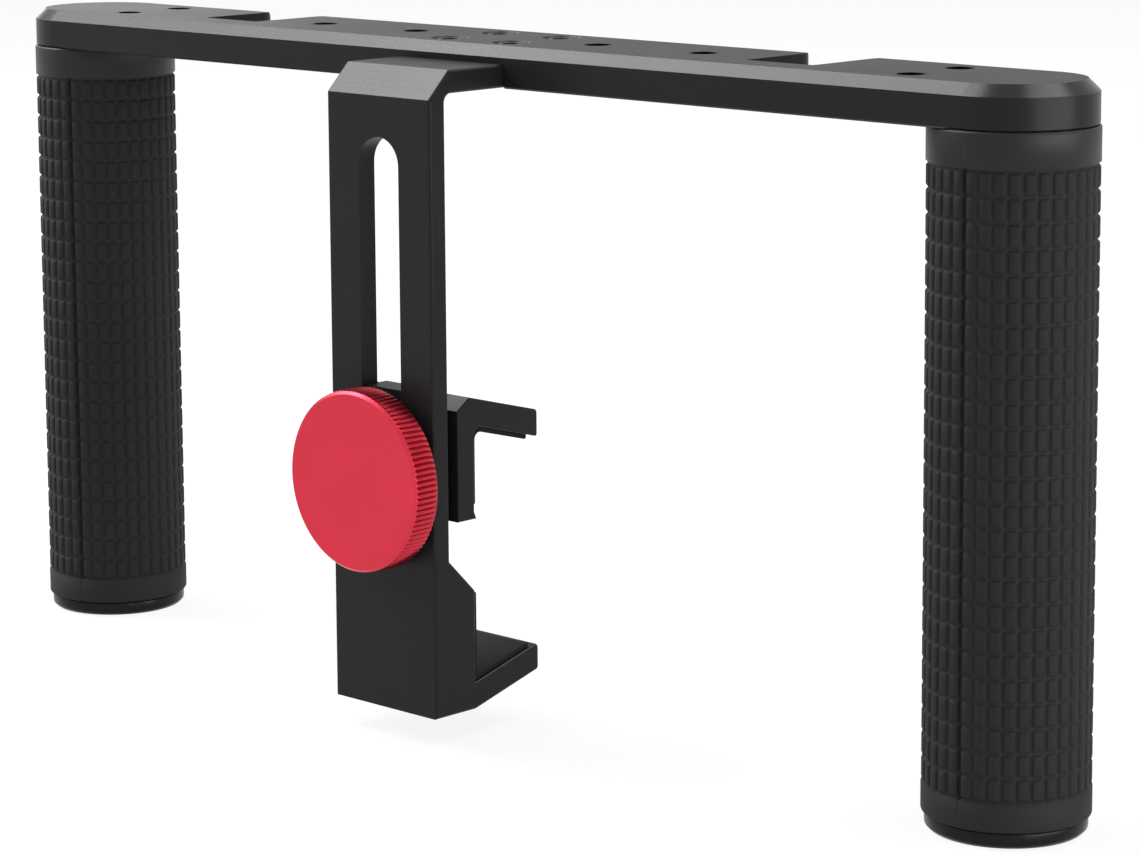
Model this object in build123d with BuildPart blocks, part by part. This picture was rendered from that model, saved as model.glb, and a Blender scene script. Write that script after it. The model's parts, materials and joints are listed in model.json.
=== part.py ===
"""Two-handled cage for filming with a phone.

A flat bar joins two upright grips. A bracket hangs in front of the bar's middle and ends
in a fixed lower jaw; a second jaw slides up and down the bracket's slot and is locked by a
round knob. Millimetres, +Z up, the origin on the floor in the middle of the whole cage.
"""
from build123d import *
from math import tan, radians
import os

os.makedirs("parts", exist_ok=True)

# ---------------------------------------------------------------- driving dimensions
# Bar
handle_spacing = 277.0
bar_width = 33.4
bar_thickness = 9.0
bar_chamfer = 2.4
bar_lower_chamfer = 0.4
notch_width = 18.0
notch_depth = 23.0
notch_from_handle = 45.3
notch_corner_radius = 4.5
notch_inner_radius = 1.0

# Tapped holes for accessories, 1/4-20
thread_radius = 2.6
thread_mouth = 0.7
inner_hole_spacing = 56.0
middle_hole_spacing = 116.6
outer_hole_inset = 19.2
outer_hole_row_spacing = 15.6

# Bracket
arm_width = 31.8
arm_wall = 4.6
arm_gap = 17.3
arm_drop = 134.4
arm_bevel = 6.0
arm_bend_radius = 2.0
arm_edge_radius = 0.7
flange_thickness = 5.0
flange_length = 29.7
flange_side_play = 0.1
flange_sunk = 0.2
slot_width = 12.2
slot_top_margin = 9.8
slot_length = 93.7

# Screws that hold the bracket under the bar
arm_screw_radius = 2.0
arm_screw_head_radius = 4.2
arm_screw_spacing_x = 18.8
arm_screw_spacing_y = 15.6
countersink_margin = 0.25
screw_hole_play = 0.15
screw_thread_play = 0.05
hex_key_width = 2.5
hex_key_depth = 1.6

# Jaws
jaw_tilt = 15.0
jaw_reach = 19.5
tongue_height = 6.0
tongue_tip_radius = 0.9
upper_tip_low_radius = 0.5
block_height = 26.5
jaw_opening = 46.15
jaw_leg_wall = 4.9
jaw_leg_height = 27.8
jaw_standoff = 2.6
jaw_corner_chamfer = 3.6
jaw_bend_radius = 1.6
jaw_edge_radius = 0.35
lip_height = 1.6
lip_depth = 0.7
shoulder_width = 20.0
shoulder_end_gap = 0.6
key_height = 23.5
key_rise = 0.55
key_depth = 3.6
key_side_play = 0.15
slide_play = 0.05

# Rubber pads on the jaws
pad_thickness = 1.1
pad_side_inset = 0.8
pad_tip_inset = 2.6
pad_root_gap = 2.4
pad_end_gap = 2.2
pad_top_gap = 1.1
pad_corner_radius = 0.5

# Knob, its stud and washer
knob_radius = 19.8
knob_thickness = 6.9
knob_edge_break = 0.5
knob_boss_radius = 8.0
knob_boss_height = 0.9
knob_above_jaw_foot = 9.2
stud_radius = 2.5
stud_head_radius = 4.0
stud_head_depth = 3.2
stud_cover = 1.6
stud_thread_play = 0.05
stud_end_gap = 0.7
washer_radius = 9.5
washer_thickness = 1.2
washer_hole_play = 0.1

# Handles
handle_height = 140.6
grip_radius = 17.0
grip_texture_step = 0.5
top_band = 7.5
bottom_band = 6.0
core_radius = 14.0
core_bore_radius = 11.5
core_end_wall = 10.0
cap_height = 3.4
cap_radius = 16.3
cap_edge_break = 0.9
cap_plug_length = 9.0
cap_plug_play = 0.05

# Bolts that hold the handles to the bar
handle_bolt_radius = 3.0
handle_bolt_play = 0.25
handle_bolt_grip = 6.2
bolt_thread_play = 0.05
bolt_bottom_gap = 0.4
bolt_head_radius = 5.0
bolt_head_height = 6.0
bolt_key_width = 5.0
bolt_key_depth = 3.0
bolt_washer_radius = 6.2
bolt_washer_thickness = 1.6

# ---------------------------------------------------------------- places worked out
handle_x = handle_spacing / 2
bar_bottom = handle_height
bar_top = bar_bottom + bar_thickness

# The cage is centred front to back between the knob's face and the back of the grips.
knob_stack = washer_thickness + knob_boss_height + knob_thickness + slide_play
front_reach = bar_width / 2 + arm_gap + arm_wall + knob_stack
bar_y = (front_reach - grip_radius) / 2
bar_front = bar_y - bar_width / 2

arm_back = bar_front - arm_gap
arm_front = arm_back - arm_wall
arm_bottom = bar_bottom - arm_drop
flange_recess = flange_thickness + flange_sunk
flange_top = bar_bottom + flange_recess
flange_bottom = flange_top - flange_thickness
flange_back = bar_front + flange_length
slot_top = flange_bottom - slot_top_margin
slot_middle = slot_top - slot_length / 2

# Both tongues rise towards each other at their tips, by the same slope.
slope = tan(radians(jaw_tilt))
leg_front = arm_back + jaw_standoff
leg_back = leg_front + jaw_leg_wall
block_back = leg_back
tip_y = block_back + jaw_reach
tongue_rise = jaw_reach * slope
block_top = arm_bottom + block_height
lower_tip_top = arm_bottom + tongue_rise + tongue_height

upper_tip_bottom = lower_tip_top + jaw_opening
upper_root_bottom = upper_tip_bottom + tongue_rise
upper_corner = upper_root_bottom + tongue_height + jaw_leg_wall * slope
jaw_foot = upper_corner - jaw_leg_height
key_bottom = upper_corner + key_rise - key_height
key_top = upper_corner + key_rise
knob_z = jaw_foot + knob_above_jaw_foot

washer_front = arm_front - slide_play - washer_thickness
knob_back = washer_front - knob_boss_height
knob_front = knob_back - knob_thickness
stud_end = leg_back - stud_end_gap

outer_hole_spacing = handle_spacing - 2 * outer_hole_inset
side_view = Plane(origin=(0, 0, 0), x_dir=(0, 1, 0), z_dir=(1, 0, 0))


def flat_plan(height):
    """A level sketch plane whose centre is on the bar's centre line."""
    return Plane(origin=(0, bar_y, height), x_dir=(1, 0, 0), z_dir=(0, 0, 1))


def front_plan(depth):
    """An upright sketch plane facing the front, at one depth."""
    return Plane(origin=(0, depth, 0), x_dir=(1, 0, 0), z_dir=(0, -1, 0))


def side_edges(shape):
    """The edges round a shape's two side faces, left and right."""
    faces = shape.faces().sort_by(Axis.X)
    return faces[0].outer_wire().edges() + faces[-1].outer_wire().edges()


# ---------------------------------------------------------------- bar
with BuildPart() as bar:
    with BuildSketch(flat_plan(bar_bottom)):
        SlotCenterToCenter(handle_spacing, bar_width)
    extrude(amount=bar_thickness)
    top_rim = bar.faces().sort_by(Axis.Z)[-1].outer_wire().edges()
    bottom_rim = bar.faces().sort_by(Axis.Z)[0].outer_wire().edges()
    chamfer(top_rim, bar_chamfer)
    chamfer(bottom_rim, bar_lower_chamfer)

    # Rear notches: open to the back, with rounded mouths.
    for side in (-1, 1):
        notch_x = side * (handle_x - notch_from_handle - notch_width / 2)
        notch_front = bar_width / 2 - notch_depth
        mouth = notch_corner_radius
        with BuildSketch(flat_plan(bar_bottom)):
            with Locations((notch_x, notch_front + notch_depth / 2)):
                Rectangle(notch_width, notch_depth)
            with Locations((notch_x, bar_width / 2 - mouth / 2)):
                Rectangle(notch_width + 2 * mouth, mouth)
            with Locations(
                (notch_x - notch_width / 2 - mouth, bar_width / 2 - mouth),
                (notch_x + notch_width / 2 + mouth, bar_width / 2 - mouth),
            ):
                Circle(mouth, mode=Mode.SUBTRACT)
        extrude(amount=bar_thickness, mode=Mode.SUBTRACT)
    inner_corners = (
        bar.edges().filter_by(Axis.Z).filter_by_position(Axis.Y, bar_y - bar_width / 2, bar_y)
    )
    fillet(inner_corners, notch_inner_radius)

    # Seat for the bracket's flange, open at the front.
    with BuildSketch(flat_plan(bar_bottom)):
        with Locations((0, (flange_length - bar_width) / 2)):
            Rectangle(arm_width + 2 * flange_side_play, flange_length)
    extrude(amount=flange_recess, mode=Mode.SUBTRACT)

    # Countersunk holes for the bracket's screws.
    with Locations(flat_plan(bar_top)):
        with GridLocations(arm_screw_spacing_x, arm_screw_spacing_y, 2, 2):
            CounterSinkHole(
                arm_screw_radius + screw_hole_play,
                arm_screw_head_radius + countersink_margin,
                depth=bar_thickness,
            )

    # Tapped holes, each with a small countersunk mouth.
    with Locations(flat_plan(bar_top)):
        with Locations((-inner_hole_spacing / 2, 0), (inner_hole_spacing / 2, 0)):
            CounterSinkHole(thread_radius, thread_radius + thread_mouth, depth=bar_thickness)
        with Locations((-middle_hole_spacing / 2, 0), (middle_hole_spacing / 2, 0)):
            CounterSinkHole(thread_radius, thread_radius + thread_mouth, depth=bar_thickness)
        with GridLocations(outer_hole_spacing, outer_hole_row_spacing, 2, 2):
            CounterSinkHole(thread_radius, thread_radius + thread_mouth, depth=bar_thickness)

    # Blind tapped holes for the handle bolts.
    with BuildSketch(flat_plan(bar_bottom)):
        with Locations((-handle_x, 0), (handle_x, 0)):
            Circle(handle_bolt_radius + bolt_thread_play)
    extrude(amount=handle_bolt_grip + bolt_bottom_gap, mode=Mode.SUBTRACT)
bar.part.label = "bar"
export_step(bar.part, "parts/bar.step")

# ---------------------------------------------------------------- bracket with the lower jaw
with BuildPart() as clamp_arm:
    with BuildSketch(side_view):
        with BuildLine():
            Polyline(
                (arm_front, arm_bottom),
                (block_back, arm_bottom),
                (tip_y, arm_bottom + tongue_rise),
                (tip_y, lower_tip_top),
                (block_back, arm_bottom + tongue_height),
                (block_back, block_top),
                (arm_back, block_top + block_back - arm_back),
                (arm_back, flange_bottom),
                (flange_back, flange_bottom),
                (flange_back, flange_top),
                (arm_front + arm_bevel, flange_top),
                (arm_front, flange_top - arm_bevel),
                close=True,
            )
        make_face()
    extrude(amount=arm_width / 2, both=True)
    cross_edges = clamp_arm.edges().filter_by(Axis.X)
    bend = cross_edges.sort_by_distance((0, arm_back, flange_bottom))[0]
    fillet(bend, arm_bend_radius)
    cross_edges = clamp_arm.edges().filter_by(Axis.X)
    tip_low = cross_edges.sort_by_distance((0, tip_y, arm_bottom + tongue_rise))[0]
    fillet(tip_low, tongue_tip_radius)
    cross_edges = clamp_arm.edges().filter_by(Axis.X)
    tip_high = cross_edges.sort_by_distance((0, tip_y, lower_tip_top))[0]
    fillet(tip_high, tongue_tip_radius)
    fillet(side_edges(clamp_arm), arm_edge_radius)

    # The slot in the upright.
    with BuildSketch(front_plan(arm_back)):
        with Locations((0, slot_middle)):
            SlotOverall(slot_length, slot_width, rotation=90)
    extrude(amount=arm_wall, mode=Mode.SUBTRACT)

    # Tapped holes for the four screws from above.
    with BuildSketch(flat_plan(flange_bottom)):
        with GridLocations(arm_screw_spacing_x, arm_screw_spacing_y, 2, 2):
            Circle(arm_screw_radius + screw_thread_play)
    extrude(amount=flange_thickness, mode=Mode.SUBTRACT)
clamp_arm.part.label = "clamp_arm"
export_step(clamp_arm.part, "parts/clamp_arm.step")

# ---------------------------------------------------------------- bracket screws
with BuildPart() as arm_screws:
    head_height = arm_screw_head_radius - arm_screw_radius
    head_top = bar_top - countersink_margin
    with BuildSketch(flat_plan(head_top)):
        with GridLocations(arm_screw_spacing_x, arm_screw_spacing_y, 2, 2):
            Circle(arm_screw_head_radius)
    extrude(amount=-head_height, taper=45)
    with BuildSketch(flat_plan(flange_bottom)):
        with GridLocations(arm_screw_spacing_x, arm_screw_spacing_y, 2, 2):
            Circle(arm_screw_radius)
    extrude(amount=head_top - head_height - flange_bottom)
    with BuildSketch(flat_plan(head_top)):
        with GridLocations(arm_screw_spacing_x, arm_screw_spacing_y, 2, 2):
            RegularPolygon(hex_key_width / 2, 6, major_radius=False)
    extrude(amount=-hex_key_depth, mode=Mode.SUBTRACT)
arm_screws.part.label = "arm_screws"
export_step(arm_screws.part, "parts/arm_screws.step")

# ---------------------------------------------------------------- sliding upper jaw
with BuildPart() as upper_jaw:
    with BuildSketch(side_view):
        with BuildLine():
            Polyline(
                (leg_front, jaw_foot),
                (leg_back + lip_depth, jaw_foot),
                (leg_back, jaw_foot + lip_height),
                (leg_back, upper_root_bottom),
                (tip_y, upper_tip_bottom),
                (tip_y, upper_tip_bottom + tongue_height),
                (leg_front + jaw_corner_chamfer, upper_corner - jaw_corner_chamfer * slope),
                (leg_front, upper_corner - jaw_corner_chamfer),
                close=True,
            )
        make_face()
    extrude(amount=arm_width / 2, both=True)
    cross_edges = upper_jaw.edges().filter_by(Axis.X)
    bend = cross_edges.sort_by_distance((0, leg_back, upper_root_bottom))[0]
    fillet(bend, jaw_bend_radius)
    cross_edges = upper_jaw.edges().filter_by(Axis.X)
    tip_high = cross_edges.sort_by_distance((0, tip_y, upper_tip_bottom + tongue_height))[0]
    fillet(tip_high, tongue_tip_radius)
    cross_edges = upper_jaw.edges().filter_by(Axis.X)
    tip_low = cross_edges.sort_by_distance((0, tip_y, upper_tip_bottom))[0]
    fillet(tip_low, upper_tip_low_radius)
    fillet(side_edges(upper_jaw), jaw_edge_radius)

    # The shoulder slides on the back of the bracket, and the key runs in its slot.
    shoulder_front = arm_back + slide_play
    shoulder_low = jaw_foot + shoulder_end_gap
    shoulder_high = upper_corner - jaw_corner_chamfer
    with BuildSketch(front_plan(leg_front)):
        with Locations((0, (shoulder_low + shoulder_high) / 2)):
            Rectangle(shoulder_width, shoulder_high - shoulder_low)
    extrude(amount=leg_front - shoulder_front)
    with BuildSketch(front_plan(leg_front)):
        with Locations((0, (key_bottom + key_top) / 2)):
            Rectangle(slot_width - 2 * key_side_play, key_height)
    extrude(amount=leg_front - arm_back + key_depth)

    # Tapped hole for the stud.
    with BuildSketch(front_plan(leg_back + lip_depth)):
        with Locations((0, knob_z)):
            Circle(stud_radius + stud_thread_play)
    extrude(amount=leg_back + lip_depth - arm_front, mode=Mode.SUBTRACT)
upper_jaw.part.label = "upper_jaw"
export_step(upper_jaw.part, "parts/upper_jaw.step")

# ---------------------------------------------------------------- rubber pads
pad_width = arm_width - 2 * pad_side_inset
pad_start = block_back + pad_root_gap
pad_end = tip_y - pad_tip_inset


def tongue_top(y):
    """Height of the lower tongue's upper face."""
    return arm_bottom + tongue_height + (y - block_back) * slope


def tongue_underside(y):
    """Height of the upper tongue's lower face."""
    return upper_root_bottom - (y - leg_back) * slope


with BuildPart() as lower_tongue_pad:
    with BuildSketch(side_view):
        with BuildLine():
            Polyline(
                (pad_start, tongue_top(pad_start)),
                (pad_end, tongue_top(pad_end)),
                (pad_end, tongue_top(pad_end) + pad_thickness),
                (pad_start, tongue_top(pad_start) + pad_thickness),
                close=True,
            )
        make_face()
    extrude(amount=pad_width / 2, both=True)
lower_tongue_pad.part.label = "lower_tongue_pad"
export_step(lower_tongue_pad.part, "parts/lower_tongue_pad.step")

with BuildPart() as upper_tongue_pad:
    with BuildSketch(side_view):
        with BuildLine():
            Polyline(
                (pad_start, tongue_underside(pad_start)),
                (pad_end, tongue_underside(pad_end)),
                (pad_end, tongue_underside(pad_end) - pad_thickness),
                (pad_start, tongue_underside(pad_start) - pad_thickness),
                close=True,
            )
        make_face()
    extrude(amount=pad_width / 2, both=True)
upper_tongue_pad.part.label = "upper_tongue_pad"
export_step(upper_tongue_pad.part, "parts/upper_tongue_pad.step")

with BuildPart() as block_pad:
    pad_low = arm_bottom + tongue_height + pad_end_gap
    pad_high = block_top - pad_top_gap
    with BuildSketch(front_plan(block_back)):
        with Locations((0, (pad_low + pad_high) / 2)):
            RectangleRounded(pad_width, pad_high - pad_low, pad_corner_radius)
    extrude(amount=-pad_thickness)
block_pad.part.label = "block_pad"
export_step(block_pad.part, "parts/block_pad.step")

with BuildPart() as leg_pad:
    leg_pad_low = jaw_foot + lip_height + pad_side_inset
    leg_pad_high = upper_root_bottom - pad_end_gap
    with BuildSketch(front_plan(leg_back)):
        with Locations((0, (leg_pad_low + leg_pad_high) / 2)):
            RectangleRounded(pad_width, leg_pad_high - leg_pad_low, pad_corner_radius)
    extrude(amount=-pad_thickness)
leg_pad.part.label = "leg_pad"
export_step(leg_pad.part, "parts/leg_pad.step")

# ---------------------------------------------------------------- knob, stud and washer
with BuildPart() as clamp_knob:
    with BuildSketch(front_plan(knob_back)):
        with Locations((0, knob_z)):
            Circle(knob_radius)
    extrude(amount=knob_thickness)
    rims = clamp_knob.edges().filter_by(GeomType.CIRCLE)
    chamfer(rims, knob_edge_break)
    with BuildSketch(front_plan(washer_front)):
        with Locations((0, knob_z)):
            Circle(knob_boss_radius)
    extrude(amount=knob_boss_height)

    # Blind pocket for the stud and its head.
    stud_head_back = knob_front + stud_cover + stud_head_depth
    with BuildSketch(front_plan(washer_front)):
        with Locations((0, knob_z)):
            Circle(stud_radius)
    extrude(amount=washer_front - stud_head_back, mode=Mode.SUBTRACT)
    with BuildSketch(front_plan(stud_head_back)):
        with Locations((0, knob_z)):
            Circle(stud_head_radius)
    extrude(amount=stud_head_depth, mode=Mode.SUBTRACT)
clamp_knob.part.label = "clamp_knob"
export_step(clamp_knob.part, "parts/clamp_knob.step")

with BuildPart() as clamp_stud:
    with BuildSketch(front_plan(stud_end)):
        with Locations((0, knob_z)):
            Circle(stud_radius)
    extrude(amount=stud_end - stud_head_back)
    with BuildSketch(front_plan(stud_head_back)):
        with Locations((0, knob_z)):
            Circle(stud_head_radius)
    extrude(amount=stud_head_depth)
clamp_stud.part.label = "clamp_stud"
export_step(clamp_stud.part, "parts/clamp_stud.step")

with BuildPart() as knob_washer:
    with BuildSketch(front_plan(washer_front + washer_thickness)):
        with Locations((0, knob_z)):
            Circle(washer_radius)
            Circle(stud_radius + washer_hole_play, mode=Mode.SUBTRACT)
    extrude(amount=washer_thickness)
knob_washer.part.label = "knob_washer"
export_step(knob_washer.part, "parts/knob_washer.step")

# ---------------------------------------------------------------- handles
for side_name, side in (("left", -1), ("right", 1)):
    axis_x = side * handle_x
    core_top = bar_bottom
    washer_top = core_top - core_end_wall
    head_top = washer_top - bolt_washer_thickness

    with BuildPart() as handle_core:
        with BuildSketch(flat_plan(cap_height)):
            with Locations((axis_x, 0)):
                Circle(core_radius)
        extrude(amount=core_top - cap_height)
        with BuildSketch(flat_plan(cap_height)):
            with Locations((axis_x, 0)):
                Circle(core_bore_radius)
        extrude(amount=washer_top - cap_height, mode=Mode.SUBTRACT)
        with BuildSketch(flat_plan(washer_top)):
            with Locations((axis_x, 0)):
                Circle(handle_bolt_radius + handle_bolt_play)
        extrude(amount=core_end_wall, mode=Mode.SUBTRACT)
    handle_core.part.label = side_name + "_handle_core"
    export_step(handle_core.part, "parts/" + side_name + "_handle_core.step")

    with BuildPart() as grip_sleeve:
        with BuildSketch(flat_plan(cap_height)):
            with Locations((axis_x, 0)):
                Circle(grip_radius)
        extrude(amount=bar_bottom - cap_height)
        with BuildSketch(flat_plan(cap_height + bottom_band)):
            with Locations((axis_x, 0)):
                Circle(grip_radius)
                Circle(grip_radius - grip_texture_step, mode=Mode.SUBTRACT)
        extrude(
            amount=bar_bottom - top_band - cap_height - bottom_band, mode=Mode.SUBTRACT
        )
        with BuildSketch(flat_plan(cap_height)):
            with Locations((axis_x, 0)):
                Circle(core_radius)
        extrude(amount=bar_bottom - cap_height, mode=Mode.SUBTRACT)
    grip_sleeve.part.label = side_name + "_grip_sleeve"
    export_step(grip_sleeve.part, "parts/" + side_name + "_grip_sleeve.step")

    with BuildPart() as end_cap:
        with BuildSketch(flat_plan(0)):
            with Locations((axis_x, 0)):
                Circle(cap_radius)
        extrude(amount=cap_height)
        floor_rim = end_cap.faces().sort_by(Axis.Z)[0].outer_wire().edges()
        chamfer(floor_rim, cap_edge_break)
        with BuildSketch(flat_plan(cap_height)):
            with Locations((axis_x, 0)):
                Circle(core_bore_radius - cap_plug_play)
        extrude(amount=cap_plug_length)
    end_cap.part.label = side_name + "_end_cap"
    export_step(end_cap.part, "parts/" + side_name + "_end_cap.step")

    with BuildPart() as bolt_washer:
        with BuildSketch(flat_plan(head_top)):
            with Locations((axis_x, 0)):
                Circle(bolt_washer_radius)
                Circle(handle_bolt_radius + handle_bolt_play, mode=Mode.SUBTRACT)
        extrude(amount=bolt_washer_thickness)
    bolt_washer.part.label = side_name + "_bolt_washer"
    export_step(bolt_washer.part, "parts/" + side_name + "_bolt_washer.step")

    with BuildPart() as handle_bolt:
        with BuildSketch(flat_plan(head_top)):
            with Locations((axis_x, 0)):
                Circle(handle_bolt_radius)
        extrude(amount=bar_bottom + handle_bolt_grip - head_top)
        with BuildSketch(flat_plan(head_top)):
            with Locations((axis_x, 0)):
                Circle(bolt_head_radius)
        extrude(amount=-bolt_head_height)
        with BuildSketch(flat_plan(head_top - bolt_head_height)):
            with Locations((axis_x, 0)):
                RegularPolygon(bolt_key_width / 2, 6, major_radius=False)
        extrude(amount=bolt_key_depth, mode=Mode.SUBTRACT)
    handle_bolt.part.label = side_name + "_handle_bolt"
    export_step(handle_bolt.part, "parts/" + side_name + "_handle_bolt.step")
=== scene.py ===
"""Dresses a two-handled cage for filming with a phone, round its packed frame.

The file is laid out as an add-on and is run as a script. Metres, +Z up, the solids' own frame.
"""

import json
from math import cos, pi, radians, sin

import bmesh
import bpy
from bpy.props import FloatProperty, FloatVectorProperty, IntProperty, PointerProperty
from mathutils import Matrix, Vector
from mathutils.geometry import tessellate_polygon

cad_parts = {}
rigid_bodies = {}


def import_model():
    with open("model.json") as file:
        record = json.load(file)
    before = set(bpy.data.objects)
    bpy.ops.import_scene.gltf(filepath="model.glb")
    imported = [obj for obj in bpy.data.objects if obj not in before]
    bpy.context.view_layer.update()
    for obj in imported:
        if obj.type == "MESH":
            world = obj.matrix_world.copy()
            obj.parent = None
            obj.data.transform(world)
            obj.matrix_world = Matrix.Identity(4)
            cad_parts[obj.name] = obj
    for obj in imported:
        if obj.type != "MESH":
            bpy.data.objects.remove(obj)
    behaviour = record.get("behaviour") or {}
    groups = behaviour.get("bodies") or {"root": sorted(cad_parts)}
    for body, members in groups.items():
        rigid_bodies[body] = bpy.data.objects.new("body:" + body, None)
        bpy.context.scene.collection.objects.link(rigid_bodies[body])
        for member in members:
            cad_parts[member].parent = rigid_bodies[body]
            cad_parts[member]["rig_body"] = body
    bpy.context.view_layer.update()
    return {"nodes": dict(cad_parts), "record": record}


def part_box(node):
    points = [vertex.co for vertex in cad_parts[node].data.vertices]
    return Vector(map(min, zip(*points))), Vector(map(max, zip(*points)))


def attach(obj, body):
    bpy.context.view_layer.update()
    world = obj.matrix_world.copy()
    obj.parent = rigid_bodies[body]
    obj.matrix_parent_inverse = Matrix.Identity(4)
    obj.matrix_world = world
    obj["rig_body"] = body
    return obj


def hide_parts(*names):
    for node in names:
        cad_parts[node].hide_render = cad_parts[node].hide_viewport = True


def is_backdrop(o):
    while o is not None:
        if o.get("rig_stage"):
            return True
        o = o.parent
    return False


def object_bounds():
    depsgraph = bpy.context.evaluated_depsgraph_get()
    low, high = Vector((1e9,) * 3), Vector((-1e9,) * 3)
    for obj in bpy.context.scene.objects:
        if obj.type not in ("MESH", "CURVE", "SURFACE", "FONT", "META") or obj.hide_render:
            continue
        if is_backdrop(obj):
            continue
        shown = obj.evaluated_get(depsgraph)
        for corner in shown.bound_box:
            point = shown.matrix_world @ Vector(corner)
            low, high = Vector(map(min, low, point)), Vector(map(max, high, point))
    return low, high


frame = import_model()

bl_info = {
    "name": "Phone Cage",
    "version": (1, 0, 0),
    "blender": (4, 5, 0),
    "location": "3D View > Sidebar > Phone Cage",
    "description": "Dresses a two-handled phone cage round its packed frame",
    "category": "Object",
}

MILLIMETRE = 0.001
SENSOR_WIDTH = 36.0
WHITE = (1.0, 1.0, 1.0, 1.0)
SIDES = ("left", "right")
METALWORK = ("bar", "clamp_arm", "upper_jaw")
# Each liner: its name, its upright and its tongue solid, and the upright's side of the tongue.
LINERS = (
    ("lower_liner", "block_pad", "lower_tongue_pad", 1),
    ("upper_liner", "leg_pad", "upper_tongue_pad", -1),
)
# Each lamp: its name, its turn from the cage's front towards +X, its rise above the level,
# its distance in metres, its width and height in metres and its power in watts.
LAMPS = (
    ("key_softbox", radians(292), radians(34), 1.5, (0.8, 0.8), 17.0),
    ("high_softbox", radians(275), radians(60), 1.5, (0.8, 0.8), 20.0),
    ("back_softbox", radians(136), radians(64), 1.5, (0.72, 0.72), 12.5),
    ("side_panel", radians(92), radians(2.3), 0.885, (0.8, 0.2), 4.6),
    ("left_softbox", radians(240), radians(13), 1.5, (0.5, 0.6), 1.7),
)


def length(name, description, default):
    """A property that holds a size in metres."""
    return FloatProperty(
        name=name, description=description, default=default, min=0, precision=5, unit="LENGTH"
    )


def colour(name, description, default):
    """A property that holds a colour."""
    return FloatVectorProperty(
        name=name, description=description, default=default, min=0, max=1, subtype="COLOR"
    )


# ------------------------------------------------------------------ sizes and colours
class GripSizes(bpy.types.PropertyGroup):
    """The moulded rubber grips."""

    rows: IntProperty(name="Rows", description="Rows of blocks up a grip", default=25, min=1)
    columns: IntProperty(name="Columns", description="Blocks round a grip", default=36, min=3)
    top_band: length("Top band", "Height of the smooth band under the bar", 0.0075)
    bottom_band: length("Bottom band", "Height of the smooth band over the cap", 0.006)
    band_rounding: length("Band rounding", "Rounding of the bands' edges", 0.0005)
    groove_depth: length("Groove depth", "Depth of the grooves between the blocks", 0.00048)
    block_drop: length("Block drop", "How far the blocks' tops lie below the bands", 0.0001)
    upright_groove: length("Upright groove", "Floor width of an upright groove", 0.00016)
    level_groove: length("Level groove", "Floor width of a level groove", 0.0002)
    block_rounding: length("Block rounding", "Width of the rounding at a block's edge", 0.00062)
    seam_width: length("Seam width", "Width of the mould's parting line", 0.0008)
    seam_depth: length("Seam depth", "Depth of the parting line between the blocks", 0.0009)
    band_seam_depth: length("Band seam", "Depth of the parting line in the bands", 0.000008)
    lower_gloss: FloatProperty(
        name="Lower gloss", description="Gloss of the lower band, as a share of the upper one's",
        default=0.2, min=0, max=1, subtype="FACTOR",
    )
    left_seam: FloatProperty(
        name="Left seam", description="Turn of the left grip's parting line from the front",
        default=radians(19), subtype="ANGLE",
    )
    right_seam: FloatProperty(
        name="Right seam", description="Turn of the right grip's parting line from the front",
        default=radians(3), subtype="ANGLE",
    )


class KnobSizes(bpy.types.PropertyGroup):
    """The round knob."""

    teeth: IntProperty(name="Teeth", description="Teeth of the knurled rim", default=100, min=8)
    tooth_depth: length("Tooth depth", "Depth of the grooves in the rim", 0.0007)
    face_chamfer: length("Face chamfer", "Bevel round the front face", 0.0006)
    land_step: length("Land step", "How far the bevel's foot lies below the teeth's tops", 0.0002)
    tooth_ramp: length("Tooth ramp", "Length over which the grooves run out", 0.0004)
    back_chamfer: length("Back chamfer", "Bevel round the back", 0.0006)
    boss_radius: length("Boss radius", "Radius of the boss at the back", 0.008)
    boss_height: length("Boss height", "Height of the boss at the back", 0.0009)
    boss_rounding: length("Boss rounding", "Rounding of the boss's edges", 0.0002)
    dish: length("Dish", "How far the face's middle lies below its edge", 0.00012)


class CapSizes(bpy.types.PropertyGroup):
    """The caps in the handles' lower ends."""

    plug_radius: length("Plug radius", "Radius of the plug inside the tube", 0.01145)
    plug_bevel: length("Plug bevel", "Bevel at the plug's upper end", 0.0006)
    edge_bevel: length("Edge bevel", "Bevel round the underside", 0.0009)
    neck: length("Neck", "Height of the groove between cap and grip", 0.0002)
    neck_depth: length("Neck depth", "Depth of that groove", 0.0004)
    recess_radius: length("Recess radius", "Radius of the recess in the underside", 0.0098)
    recess_depth: length("Recess depth", "Depth of that recess", 0.0005)
    dimple_radius: length("Dimple radius", "Radius of the dimple in the middle", 0.0016)
    rounding: length("Rounding", "Rounding of the cap's edges", 0.0002)


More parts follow.
